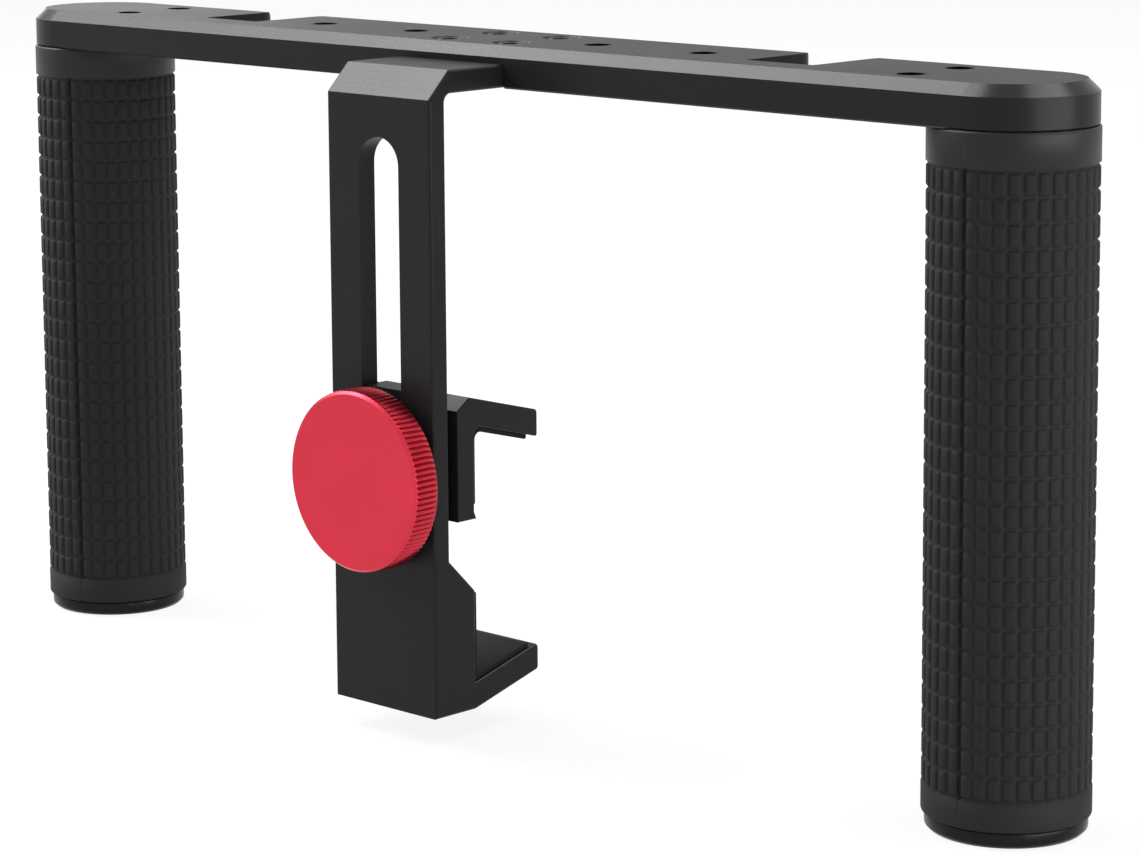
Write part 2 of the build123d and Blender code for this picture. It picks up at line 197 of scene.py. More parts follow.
class ScrewSizes(bpy.types.PropertyGroup):
    """The bracket's screws and the tapped holes."""

    head_radius: length("Head", "Radius of a screw's head", 0.0042)
    seat_radius: length("Seat", "Radius of a screw's seat at the bar's top", 0.00445)
    flat_radius: length("Flat", "Radius of the flat round a screw's socket", 0.0027)
    rim_radius: length("Rim", "Outer radius of the groove round that flat", 0.0042)
    groove_depth: length("Groove", "Depth of that groove", 0.0009)
    socket_width: length("Socket", "Width across the socket's flats", 0.0034)
    socket_depth: length("Socket depth", "Depth of the socket", 0.0018)
    socket_mouth: length("Socket mouth", "Radius of the socket's bevelled mouth", 0.00204)
    shank_radius: length("Shank", "Radius of a screw's shank", 0.002)
    flush_gap: length("Flush gap", "How far the rims lie below the bar's top", 0.00002)
    rim_bevel: length("Rim bevel", "Bevel of the rims' edges", 0.00006)
    shank_bevel: length("Shank bevel", "Bevel at a shank's lower end", 0.0003)
    hole_mouth: length("Hole mouth", "Radius of a tapped hole's countersink", 0.0033)
    mouth_play: length("Mouth play", "How much wider a hole's rim is than its threads", 0.00012)
    mouth_depth: length("Mouth depth", "Depth of the holes' plain rims", 0.0006)
    thread_pitch: length("Pitch", "Pitch of the tapped holes' threads", 0.00127)
    thread_crest: length("Crest", "How far the threads stand into the holes", 0.00016)
    thread_root: length("Root", "How far the threads lie in the holes' walls", 0.00005)


class LinerSizes(bpy.types.PropertyGroup):
    """The rubber liners of the jaws."""

    pad_rounding: length("Pad rounding", "Rounding of the rubber liners' edges", 0.00025)
    liner_corner: length("Liner corner", "Radius of the liners' inner corners", 0.0015)
    metal_corner: length("Metal corner", "Radius of the sliding jaw's inner corner", 0.0017)
    liner_taper: length("Liner taper", "Length of the liners' thinned upright ends", 0.0008)
    liner_reach: length("Liner reach", "How far the lower liner runs past its pad", 0.0010)


class Colours(bpy.types.PropertyGroup):
    """Base colours of the finishes."""

    black_anodised: colour("Black anodised", "Bar, bracket and jaw", (0.009, 0.009, 0.0094))
    anodised_wear: colour("Worn edges", "The black metal where it is rubbed", (0.05, 0.05, 0.052))
    red_anodised: colour("Red anodised", "The knob", (0.635, 0.035, 0.061))
    # Painted shade: the dark red that stands for the shade between the knob's teeth.
    red_groove_shade: colour("Red in grooves", "Between the knob's teeth", (0.12, 0.006, 0.012))
    red_wear: colour("Worn red", "The knob's edges", (0.85, 0.12, 0.15))
    grip_rubber: colour("Grip rubber", "The grips", (0.0065, 0.0065, 0.0067))
    rubber_dust: colour("Rubber dust", "Dull spots on rubber and caps", (0.015, 0.015, 0.015))
    pad_rubber: colour("Pad rubber", "The liners of the jaws", (0.005, 0.005, 0.005))
    cap_plastic: colour("Cap plastic", "The end caps", (0.005, 0.005, 0.0052))
    black_steel: colour("Black steel", "The bracket's screws", (0.045, 0.045, 0.046))
    # Painted shade: near-black for the screws' sockets and grooves and for the holes' threads and
    # rims, where shade falls.
    recess_shade_black: colour("Recess shade", "Sockets, grooves and threads", (0.0025, 0.0025, 0.0025))
    plated_steel: colour("Plated steel", "Stud, washers and bolts", (0.55, 0.55, 0.56))
    bare_aluminium: colour("Bare aluminium", "The tubes in the grips", (0.70, 0.70, 0.71))


class StageSettings(bpy.types.PropertyGroup):
    """Floor, lamps and camera."""

    floor_size: length("Floor", "Width of the floor", 24.0)
    floor_colour: colour("Floor colour", "The pale floor", (0.86, 0.86, 0.86))
    floor_glow: FloatProperty(
        name="Floor glow", description="Share of plain white in the floor that the camera sees",
        default=0.88, min=0, max=1, subtype="FACTOR",
    )
    sky_level: FloatProperty(
        name="Sky level", description="Strength of the even light from all round", default=0.55,
        min=0,
    )
    camera_place: FloatVectorProperty(
        name="Camera place", description="Where the camera stands",
        default=(0.5548, -0.5446, 0.2176), subtype="TRANSLATION", precision=4,
    )
    camera_turn: FloatProperty(
        name="Camera turn", description="Turn to the left from looking at the back",
        default=0.7630, subtype="ANGLE",
    )
    camera_tilt: FloatProperty(
        name="Camera tilt", description="Tilt downwards", default=0.1452, subtype="ANGLE",
    )
    camera_roll: FloatProperty(
        name="Camera roll", description="Roll about the line of sight", default=-0.0064,
        subtype="ANGLE",
    )
    camera_lens: FloatProperty(
        name="Lens", description="Focal length on a sensor 36 mm wide, in millimetres",
        default=113.59, min=1,
    )
    camera_shift: FloatProperty(
        name="Shift", description="The lens's rise, as a share of the picture's width",
        default=-0.1557,
    )


# ------------------------------------------------------------------ shader maths
class Field:
    """A number that varies over a surface, written with ordinary arithmetic."""

    def __init__(self, finish, socket):
        self.finish = finish
        self.socket = socket

    def made(self, operation, *values):
        """The result of one Math node."""
        node = self.finish.node(
            "ShaderNodeMath", {"operation": operation}, dict(enumerate(values))
        )
        return Field(self.finish, node.outputs[0])

    def __add__(self, other):
        return self.made("ADD", self, other)

    def __sub__(self, other):
        return self.made("SUBTRACT", self, other)

    def __mul__(self, other):
        return self.made("MULTIPLY", self, other)

    def __pow__(self, other):
        return self.made("POWER", self, other)

    def __rsub__(self, other):
        return self.made("SUBTRACT", other, self)

    def __abs__(self):
        return self.made("ABSOLUTE", self)

    __radd__ = __add__
    __rmul__ = __mul__

    def above(self, low, high):
        """0 below low, 1 above high, and a smooth rise between them."""
        node = self.finish.node(
            "ShaderNodeMapRange", {"interpolation_type": "SMOOTHSTEP"},
            {"Value": self, "From Min": low, "From Max": high},
        )
        return Field(self.finish, node.outputs["Result"])

    def at_most(self, other):
        """The lesser of this and another number."""
        return self.made("MINIMUM", self, other)

    def at_least(self, other):
        """The greater of this and another number."""
        return self.made("MAXIMUM", self, other)


class Finish:
    """A material, or the world, and the nodes that make it."""

    def __init__(self, owner):
        self.owner = owner
        owner.use_nodes = True
        self.tree = owner.node_tree
        self.tree.nodes.clear()

    def node(self, kind, settings=None, sockets=None):
        """Adds one node: its settings first, then what its sockets hold or take."""
        node = self.tree.nodes.new(kind)
        for name, value in (settings or {}).items():
            setattr(node, name, value)
        for name, value in (sockets or {}).items():
            if isinstance(value, Field):
                value = value.socket
            if isinstance(value, bpy.types.NodeSocket):
                self.tree.links.new(value, node.inputs[name])
            else:
                node.inputs[name].default_value = value
        return node

    def field(self, kind, output, settings=None, sockets=None):
        """One output of a new node, as a number to calculate with."""
        return Field(self, self.node(kind, settings, sockets).outputs[output])

    def marked(self, name):
        """The numbers of that name that mark wrote on the piece's points."""
        return self.field("ShaderNodeAttribute", "Fac", {"attribute_name": name})

    def place(self, output="Object"):
        """The piece's own coordinates, or its own normals."""
        return self.node("ShaderNodeTexCoord").outputs[output]

    def stretched(self, factors):
        """The piece's own coordinates, scaled along each axis."""
        node = self.node(
            "ShaderNodeVectorMath", {"operation": "MULTIPLY"}, {0: self.place(), 1: factors}
        )
        return node.outputs["Vector"]

    def noise(self, scale, detail, vector=None):
        """Even noise from 0 to 1, with so many grains to the metre."""
        return self.field(
            "ShaderNodeTexNoise", "Fac", {"noise_dimensions": "3D"},
            {"Vector": vector or self.place(), "Scale": scale, "Detail": detail},
        )

    def mixed(self, share, first, second):
        """A colour between two colours."""
        node = self.node(
            "ShaderNodeMix", {"data_type": "RGBA"}, {0: share, 6: opaque(first), 7: opaque(second)}
        )
        return node.outputs[2]

    def edges(self, radius):
        """The normal with softened edges, and how near an edge a point lies, from 0 to 1."""
        soft = self.node("ShaderNodeBevel", {"samples": 6}, {"Radius": radius})
        true = self.node("ShaderNodeNewGeometry")
        agreement = self.field(
            "ShaderNodeVectorMath", "Value", {"operation": "DOT_PRODUCT"},
            {0: soft.outputs["Normal"], 1: true.outputs["Normal"]},
        )
        return soft.outputs["Normal"], (1 - agreement).above(0.01, 0.16)

    def bumped(self, height, depth, strength, normal=None):
        """The normal over small bumps of so many metres."""
        sockets = {"Height": height, "Distance": depth, "Strength": strength}
        if normal:
            sockets["Normal"] = normal
        return self.node("ShaderNodeBump", None, sockets).outputs["Normal"]

    def surface(self, **sockets):
        """Ends the material in one Principled shader."""
        names = {name.replace("_", " ").title().replace("Ior", "IOR"): value
                 for name, value in sockets.items()}
        shader = self.node("ShaderNodeBsdfPrincipled", None, names)
        self.node("ShaderNodeOutputMaterial", None, {"Surface": shader.outputs["BSDF"]})
        return self.owner


def opaque(value):
    """A colour's three numbers with full alpha; links stay as they are."""
    return value if isinstance(value, bpy.types.NodeSocket) else (*value, 1.0)


def new_finish(name):
    """An empty material to build a finish in."""
    return Finish(bpy.data.materials.new(name))


def toned(tone, factor):
    """A colour made lighter or darker by a factor."""
    return [part * factor for part in tone]


def around(middle, *parts):
    """A number that each noise moves up or down, by half its share at most."""
    for noise, share in parts:
        middle = (noise - 0.5) * share + middle
    return middle


# ------------------------------------------------------------------ finishes
def black_anodising(name, colours):
    """Bead-blasted black anodising, with bevels that a cutter has left brighter."""
    finish = new_finish(name)
    upright = finish.node("ShaderNodeSeparateXYZ", None, {0: finish.place("Normal")})
    rise = Field(finish, upright.outputs["Z"])
    level = (1 - rise * rise).at_least(0) ** 0.5
    # The product is 1 where a face leans by 45 degrees; the power keeps other faces near 0.
    bevelled = (2 * abs(rise) * level) ** 8
    facing_up = abs(rise).above(0.9, 0.98)
    cloud = finish.noise(45, 3)
    blast = finish.noise(2300, 2)
    cutter_lines = finish.noise(1, 2, finish.stretched((30, 2600, 2600)))
    soft, edge = finish.edges(0.00012)
    rubbed_and_unshaded = edge * finish.noise(320, 3).above(0.35, 0.75)
    tone = finish.mixed(
        (cloud * 0.4 + blast * 0.25).at_most(1),
        colours.black_anodised, toned(colours.black_anodised, 1.35),
    )
    base = finish.mixed(rubbed_and_unshaded * 0.55, tone, colours.anodised_wear)
    roughness = around(0.34, (cloud, 0.08), (blast, 0.06)) - bevelled * 0.06
    roughness = roughness + (cutter_lines - 0.5) * bevelled * 0.08 + facing_up * 0.16
    height = blast * (1 - bevelled * 0.85) * 0.5 + cutter_lines * bevelled * 0.2
    return finish.surface(
        base_color=base, roughness=roughness, ior=1.2,
        coat_weight=bevelled * 0.12, coat_roughness=0.26,
        normal=finish.bumped(height, 0.000006, 0.5, soft),
    )


def red_anodising(name, colours):
    """Satin red anodising over turned aluminium, darker between the teeth."""
    finish = new_finish(name)
    raised = finish.marked("raised")
    cloud = finish.noise(60, 3)
    blast = finish.noise(2600, 2)
    soft, edge = finish.edges(0.00018)
    worn = edge * raised * finish.noise(500, 2).above(0.3, 0.8)
    tone = finish.mixed(
        (cloud - 0.2) * 1.3 + blast * 0.2, colours.red_anodised, toned(colours.red_anodised, 0.84)
    )
    # Painted shade: the grooves between the teeth are darkened in the base colour, more the lower
    # a point lies.
    toothed = finish.mixed((1 - raised) * 0.5, tone, colours.red_groove_shade)
    return finish.surface(
        base_color=finish.mixed(worn * 0.5, toothed, colours.red_wear),
        roughness=around(0.3, (cloud, 0.06), (blast, 0.08)) - edge * 0.06,
        metallic=0.94, ior=1.5, normal=finish.bumped(blast, 0.000005, 0.5, soft),
    )


def moulded_rubber(name, colours):
    """Moulded rubber: matt blocks between smooth bands, with dust in the grooves."""
    finish = new_finish(name)
    cloud = finish.noise(38, 3)
    grain = finish.noise(2400, 3)
    dusty = (1 - finish.marked("raised")) * (0.1 + cloud * 0.3) + grain * 0.12
    return finish.surface(
        base_color=finish.mixed(dusty.at_most(1), colours.grip_rubber, colours.rubber_dust),
        roughness=around(0.76, (grain, 0.1), (cloud, 0.1)) - finish.marked("smooth") * 0.3,
        ior=1.32, normal=finish.bumped(grain, 0.00002, 0.5),
    )


def sheet_rubber(name, colours):
    """Smooth matt rubber of the liners, a little dusty."""
    finish = new_finish(name)
    cloud = finish.noise(150, 3)
    grain = finish.noise(3000, 2)
    return finish.surface(
        base_color=finish.mixed(cloud * 0.25, colours.pad_rubber, colours.rubber_dust),
        roughness=around(0.7, (grain, 0.16)), ior=1.22,
        normal=finish.bumped(grain, 0.00002, 0.4),
    )


def thread_black(name, colours):
    """Anodising in the tapped holes, dulled by thread oil."""
    finish = new_finish(name)
    cloud = finish.noise(900, 2)
    # Painted shade: the threads and rims are coloured darker than the bar's anodising, down to
    # near-black.
    darkened_anodising = toned(colours.black_anodised, 0.6)
    return finish.surface(
        base_color=finish.mixed(cloud * 0.6, colours.recess_shade_black, darkened_anodising),
        roughness=around(0.4, (cloud, 0.2)), ior=1.07,
        normal=finish.bumped(cloud, 0.00001, 0.5),
    )


def glossy_plastic(name, colours):
    """Moulded plastic with a low gloss and fine scuffs."""
    finish = new_finish(name)
    cloud = finish.noise(120, 3)
    scuffs = finish.noise(1, 2, finish.stretched((260, 2600, 260))).above(0.58, 0.72)
    dull = scuffs * 0.25 + cloud * 0.15
    return finish.surface(
        base_color=finish.mixed(dull, colours.cap_plastic, colours.rubber_dust),
        roughness=around(0.26, (cloud, 0.1)) + scuffs * 0.14, ior=1.22,
        normal=finish.bumped(cloud + scuffs * 0.3, 0.00002, 0.4),
    )


def black_oxide(name, colours):
    """Blackened steel: the flats are rubbed, and the socket and the groove keep their oil."""
    finish = new_finish(name)
    raised = finish.marked("raised")
    cloud = finish.noise(900, 3)
    # Painted shade: only the top flats get the steel colour, and the socket, the groove and the
    # shank are painted near-black as shade.
    rubbed_and_unshaded = (raised * (0.4 + cloud * 0.6)).at_most(1)
    return finish.surface(
        base_color=finish.mixed(rubbed_and_unshaded, colours.recess_shade_black, colours.black_steel),
        metallic=raised * 0.7, roughness=around(0.42, (cloud, 0.16)), ior=1.1,
        normal=finish.bumped(cloud, 0.00001, 0.4),
    )


def plain_metal(name, tone, roughness):
    """Turned or drawn metal, with fine upright lines."""
    finish = new_finish(name)
    lines = finish.noise(1, 3, finish.stretched((3200, 3200, 60)))
    cloud = finish.noise(220, 3)
    return finish.surface(
        base_color=finish.mixed(cloud * 0.7, tone, toned(tone, 0.8)),
        metallic=1.0, ior=1.5, roughness=around(roughness, (lines, 0.16), (cloud, 0.08)),
        normal=finish.bumped(lines, 0.00001, 0.5),
    )


# ------------------------------------------------------------------ meshes
def paint(piece, material):
    """Gives a piece, or a solid, its one material."""
    piece.data.materials.clear()
    piece.data.materials.append(material)


def new_piece(name, points, faces, sharp=radians(38)):
    """A new mesh object with outward normals, smooth except across sharp edges."""
    mesh = bpy.data.meshes.new(name)
    mesh.from_pydata(points, [], faces)
    shape = bmesh.new()
    shape.from_mesh(mesh)
    bmesh.ops.recalc_face_normals(shape, faces=shape.faces)
    shape.to_mesh(mesh)
    shape.free()
    mesh.shade_smooth()
    mesh.set_sharp_from_angle(angle=sharp)
    piece = bpy.data.objects.new(name, mesh)
    bpy.context.scene.collection.objects.link(piece)
    return piece


def bridged(rings, joined=False):
    """Faces between rings of equally many points, given as point numbers."""
    count = len(rings[0])
    starts = [place * count for place in range(len(rings))]
    pairs = list(zip(starts, starts[1:]))
    if joined:
        pairs.append((starts[-1], starts[0]))
    faces = []
    for low, high in pairs:
        for step in range(count):
            after = (step + 1) % count
            faces.append((low + step, low + after, high + after, high + step))
    return faces


def mark(piece, name, values):
    """Writes one number from 0 to 1 for each point, for the piece's finish to read."""
    shown = piece.data.attributes.new(name, "FLOAT", "POINT")
    shown.data.foreach_set("value", values)


def points_of(rings):
    """The points of all rings in one list."""
    return [point for points in rings for point in points]


def closed_ends(rings):
    """Points and faces of a solid that runs from ring to ring, with a flat face at each end."""
    count = len(rings[0])
    last = (len(rings) - 1) * count
    ends = [tuple(range(count)), tuple(range(last, last + count))]
    return points_of(rings), bridged(rings) + ends


def gathered(shapes):
    """The points and faces of several shapes as those of one."""
    points, faces = [], []
    for shape_points, shape_faces in shapes:
        first = len(points)
        points += shape_points
        faces += [tuple(first + point for point in face) for face in shape_faces]
    return points, faces


def full_turn(steps):
    """Evenly spaced angles round a circle."""
    return [2 * pi * step / steps for step in range(steps)]


def ring(radius, height, turns, axis):
    """Points round an upright axis, at one radius or at one radius for each turn."""
    radii = radius if isinstance(radius, list) else [radius] * len(turns)
    return [
        (axis.x + far * cos(turn), axis.y + far * sin(turn), height)
        for far, turn in zip(radii, turns)
    ]


def eased(share):
    """0 at 0 and below, 1 at 1 and above, round at both ends."""
    share = min(max(share, 0.0), 1.0)
    return share * share * (3 - 2 * share)


def corner(centre, radius, start, end, steps=4):
    """Points of a rounded corner in a profile, from one angle in degrees to another."""
    angles = [radians(start + (end - start) * step / steps) for step in range(steps + 1)]
    return [(centre[0] + radius * cos(a), centre[1] + radius * sin(a)) for a in angles]


def finished(piece, material, body, slot, *nodes):
    """Paints a piece, hangs it on its body and says what it stands for."""
    paint(piece, material)
    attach(piece, body)
    if nodes:
        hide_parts(*nodes)


# Where the samples lie across one block, as shares of its pitch from a groove's middle.
ACROSS = (0.0, 0.05, 0.09, 0.13, 0.18, 0.26, 0.5, 0.74, 0.82, 0.87, 0.91, 0.95)
UP = (0.0, 0.022, 0.05, 0.08, 0.11, 0.15, 0.5, 0.85, 0.89, 0.92, 0.95, 0.978)
# Where the parting line starts to rise from its floor and where it ends, in its own widths.
SEAM_FLOOR, SEAM_END = 0.3, 0.8


def grip(side, sizes):
    """One rubber grip: a tube with rows of blocks between two smooth bands."""
    low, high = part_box(side + "_grip_sleeve")
    core_low, core_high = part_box(side + "_handle_core")
    axis = (low + high) / 2
    radius = (high.x - low.x) / 2
    bore = (core_high.x - core_low.x) / 2
    zone_low = low.z + sizes.bottom_band
    zone_high = high.z - sizes.top_band
    row_pitch = (zone_high - zone_low) / sizes.rows
    column_pitch = 2 * pi * radius / sizes.columns
    seam_turn = -pi / 2 + (sizes.left_seam if side == "left" else sizes.right_seam)
    turns = [
        seam_turn + 2 * pi * (column + share) / sizes.columns
        for column in range(sizes.columns) for share in ACROSS
    ]
    from_groove = [column_pitch * min(share, 1 - share) for share in ACROSS] * sizes.columns
    from_seam = [radius * min(turn - seam_turn, 2 * pi + seam_turn - turn) for turn in turns]
    seam = [
        1 - eased((far / sizes.seam_width - SEAM_FLOOR) / (SEAM_END - SEAM_FLOOR))
        for far in from_seam
    ]
    floor = radius - sizes.block_drop - sizes.groove_depth
    seam_drop = sizes.seam_depth - sizes.groove_depth

    def band(height, inset=0.0):
        radii = [radius - inset - sizes.band_seam_depth * deep for deep in seam]
        return ring(radii, height, turns, axis), [1.0] * len(turns)

    def blocks(height, from_level_groove):
        across = eased((from_level_groove - sizes.level_groove / 2) / sizes.block_rounding)
        radii, raised = [], []
        for far, deep in zip(from_groove, seam):
            up = across * eased((far - sizes.upright_groove / 2) / sizes.block_rounding)
            radii.append(floor + sizes.groove_depth * up * (1 - deep) - seam_drop * deep)
            raised.append(max(up * (1 - deep), deep))
        return ring(radii, height, turns, axis), raised

    rounding = sizes.band_rounding
    rows = [(ring(bore, low.z, turns, axis), [0.0] * len(turns))]
    for r, z in corner((radius - rounding, low.z + rounding), rounding, -90, 0):
        rows.append(band(z, radius - r))
    rows.append(band(zone_low - rounding))
    for row in range(sizes.rows):
        for share in UP:
            height = zone_low + (row + share) * row_pitch
            rows.append(blocks(height, row_pitch * min(share, 1 - share)))
    rows.append(blocks(zone_high, 0))
    rows.append(band(zone_high + rounding))
    for r, z in corner((radius - rounding, high.z - rounding), rounding, 0, 90):
        rows.append(band(z, radius - r))
    rows.append((ring(bore, high.z, turns, axis), [0.0] * len(turns)))

    rings = [points for points, raised in rows]
    piece = new_piece(side + "_grip", points_of(rings), bridged(rings, joined=True), radians(60))
    mark(piece, "raised", [value for points, raised in rows for value in raised])
    mark(piece, "smooth", [
        1.0 if z > zone_high else sizes.lower_gloss if z < zone_low else 0.0
        for x, y, z in points_of(rings)
    ])
    return piece


def knob(sizes):
    """The round knob, turned about the front-to-back axis, with straight teeth in its rim."""
    low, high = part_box("clamp_knob")
    axis = (low + high) / 2
    radius = (high.x - low.x) / 2
    front, back = low.y, high.y - sizes.boss_height
    samples = 10
    count = sizes.teeth * samples
    turns = full_turn(count)
    tooth = [sin(pi * min(step, samples - step) / samples) for step in range(samples)]
    toothed = [radius - sizes.tooth_depth * (1 - up) for up in tooth] * sizes.teeth
    land = radius - sizes.land_step
    rim_start = front + sizes.face_chamfer + sizes.land_step
    soft = sizes.boss_rounding
    # Radius and depth from the dished face's middle, over the rim and to the boss at the back.
    profile = [
        (radius * 0.5, front + sizes.dish), (radius * 0.8, front + sizes.dish * 0.45),
        (land - sizes.face_chamfer * 1.8, front + sizes.dish * 0.05),
        (land - sizes.face_chamfer, front),
        (land, front + sizes.face_chamfer),
        ([min(land, far) for far in toothed], rim_start),
        (toothed, rim_start + sizes.tooth_ramp),
        (toothed, back - sizes.back_chamfer),
        (radius - sizes.back_chamfer, back), (sizes.boss_radius + 2 * soft, back),
        (sizes.boss_radius, back + 1.5 * soft), (sizes.boss_radius, high.y - soft),
        (sizes.boss_radius - soft, high.y),
    ]
    rings, raised = [], []
    for far, depth in profile:
        grooved = isinstance(far, list)
        radii = far if grooved else [far] * count
        rings.append([
            (axis.x + r * cos(turn), depth, axis.z + r * sin(turn))
            for r, turn in zip(radii, turns)
        ])
        raised += tooth * sizes.teeth if grooved else [1.0] * count
    piece = new_piece("red_knob", *closed_ends(rings), radians(40))
    mark(piece, "raised", raised)
    return piece


def cap(side, sizes):
    """One end cap: a turned disc with a recessed underside, and the plug that holds it."""
    low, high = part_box(side + "_end_cap")
    sleeve_low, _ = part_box(side + "_grip_sleeve")
    axis = (low + high) / 2
    radius = (high.x - low.x) / 2
    brim = sleeve_low.z - sizes.neck
    neck = radius - sizes.neck_depth
    bevel = sizes.edge_bevel
    soft = sizes.rounding
    # Radius and height from the dimple, over the recess and the rim, and up the plug.
    profile = [
        (sizes.dimple_radius * 0.4, sizes.recess_depth * 1.9),
        (sizes.dimple_radius * 0.8, sizes.recess_depth * 1.6),
        (sizes.dimple_radius, sizes.recess_depth),
        (sizes.recess_radius - 2 * soft, sizes.recess_depth),
        (sizes.recess_radius, sizes.recess_depth - soft),
        (sizes.recess_radius, soft), (sizes.recess_radius + soft, 0),
        (radius - bevel - soft, 0), (radius - bevel + soft * 0.6, soft * 0.4),
        (radius - soft * 0.4, bevel - soft * 0.6), (radius, bevel + soft),
        (radius, brim - soft), (radius - soft * 0.3, brim - soft * 0.3), (radius - soft, brim),
        (neck, brim), (neck, sleeve_low.z),
        (sizes.plug_radius, sleeve_low.z), (sizes.plug_radius, high.z - sizes.plug_bevel),
        (sizes.plug_radius - sizes.plug_bevel, high.z),
    ]
    turns = full_turn(128)
    rings = [ring(r, low.z + z if z < brim else z, turns, axis) for r, z in profile]
    return new_piece(side + "_cap", *closed_ends(rings), radians(50))


def hole_places():
    """Middle and radius of each tapped hole that the record's mounts state."""
    for mount in frame["record"]["mounts"]:
        if mount["kind"] != "bolt_pattern":
            continue
        x, y, _ = mount["pos_m"]
        dims = mount["dims"]
        spread_x = dims["spacing_x_mm"] / 2 * MILLIMETRE
        spread_y = dims.get("spacing_y_mm", 0) / 2 * MILLIMETRE
        radius = dims["hole_r_mm"] * MILLIMETRE
        for side in (-1, 1):
            for step in (-1, 1) if spread_y else (0,):
                yield x + side * spread_x, y + step * spread_y, radius


def thread_ridge(axis, radius, bottom, top, sizes):
    """One hole's wound ridge, which runs out over its first and last few steps."""
    steps_each_turn = 28
    run_out = 10
    count = int((top - bottom) / sizes.thread_pitch * steps_each_turn)
    # Half the height of the ridge's foot.
    half = sizes.thread_pitch * 0.36
    sections = []
    for step in range(count):
        turn = 2 * pi * step / steps_each_turn
        height = bottom + half + (top - bottom - 2 * half) * step / (count - 1)
        crest = sizes.thread_crest * min(1.0, step / run_out, (count - 1 - step) / run_out)
        sections.append([
            (axis.x + far * cos(turn), axis.y + far * sin(turn), height + rise)
            for far, rise in (
                (radius + sizes.thread_root, -half), (radius - crest, 0),
                (radius + sizes.thread_root, half),
            )
        ])
    return closed_ends(sections)


def hole_threads(sizes):
    """The rims and threads of the tapped holes."""
    low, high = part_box("bar")
    rim_top = high.z - sizes.flush_gap
    rim_foot = high.z - sizes.mouth_depth
    bevel = sizes.rim_bevel
    shapes = []
    for x, y, radius in hole_places():
        axis = Vector((x, y))
        bore = radius + sizes.mouth_play
        rim = [
            (sizes.hole_mouth - sizes.flush_gap, rim_top), (bore + bevel, rim_top),
            (bore, rim_top - bevel), (bore, rim_foot), (bore + sizes.flush_gap, rim_foot),
        ]
        rings = [ring(far, height, full_turn(48), axis) for far, height in rim]
        shapes.append((points_of(rings), bridged(rings, joined=True)))
        shapes.append(thread_ridge(axis, radius, low.z + sizes.mouth_depth / 2, rim_foot, sizes))
    return new_piece("hole_threads", *gathered(shapes), radians(40))


def bracket_screws(sizes):
    """The four screws: each head has a hexagonal socket in a flat with a groove round it."""
    low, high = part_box("arm_screws")
    bar_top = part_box("bar")[1].z
    top, rim_top = high.z, bar_top - sizes.flush_gap
    groove_foot = top - sizes.groove_depth
    bevel = sizes.rim_bevel
    turns = full_turn(48)
    hexagon = [sizes.socket_width / 2 / cos(turn % (pi / 3) - pi / 6) for turn in turns]
    # Radius and height from the socket's bottom, over the head and down to the shank's end.
    profile = [
        ([far * 0.3 for far in hexagon], top - sizes.socket_depth * 1.2),
        (hexagon, top - sizes.socket_depth),
        (hexagon, top - bevel), (sizes.socket_mouth, top),
        (sizes.flat_radius - bevel, top), (sizes.flat_radius, top - bevel),
        (sizes.flat_radius, groove_foot), (sizes.rim_radius - sizes.groove_depth, groove_foot),
        (sizes.rim_radius, rim_top - bevel), (sizes.rim_radius + bevel, rim_top),
        (sizes.seat_radius - 2 * sizes.flush_gap, rim_top),
        (sizes.shank_radius, rim_top - (sizes.seat_radius - sizes.shank_radius)),
        (sizes.shank_radius, low.z + sizes.shank_bevel),
        (sizes.shank_radius - sizes.shank_bevel, low.z),
    ]
    shapes = []
    for x in (low.x + sizes.head_radius, high.x - sizes.head_radius):
        for y in (low.y + sizes.head_radius, high.y - sizes.head_radius):
            axis = Vector((x, y))
            shapes.append(closed_ends([ring(far, z, turns, axis) for far, z in profile]))
    piece = new_piece("bracket_screws", *gathered(shapes), radians(35))
    # Painted shade: 1 on the heads' top flats and 0 on the socket, the groove and the shank, which
    # the finish paints near-black as shade.
    rubbed_and_unshaded = [float(z > top - bevel / 2) for far, z in profile for turn in turns]
    mark(piece, "raised", rubbed_and_unshaded * len(shapes))
    return piece


def rounded_corner(corner_point, before, after, radius, steps=8):
    """The points of an arc that rounds the corner between its two neighbours."""
    to_before = (before - corner_point).normalized()
    to_after = (after - corner_point).normalized()
    half = to_before.angle(to_after) / 2
    centre = corner_point + (to_before + to_after).normalized() * radius / sin(half)
    reach = radius / sin(half) * cos(half)
    start = corner_point + to_before * reach - centre
    end = corner_point + to_after * reach - centre
    span = pi - 2 * half
    return [
        centre + (start * sin(span * (1 - step / steps)) + end * sin(span * step / steps))
        / sin(span)
        for step in range(steps + 1)
    ]


def inset(outline, depth):
    """A closed outline moved inwards; it runs anticlockwise."""
    moved = []
    for place, point in enumerate(outline):
        back = (point - outline[place - 1]).normalized()
        ahead = (outline[(place + 1) % len(outline)] - point).normalized()
        inward = Vector((-back.y - ahead.y, back.x + ahead.x))
        moved.append(point + inward / (inward.length_squared / 2) * depth)
    return moved


def flat_faces(outline):
    """Triangles that fill a bent outline, worked out in millimetres."""
    return tessellate_polygon([[Vector((0, y, z)) / MILLIMETRE for x, y, z in outline]])


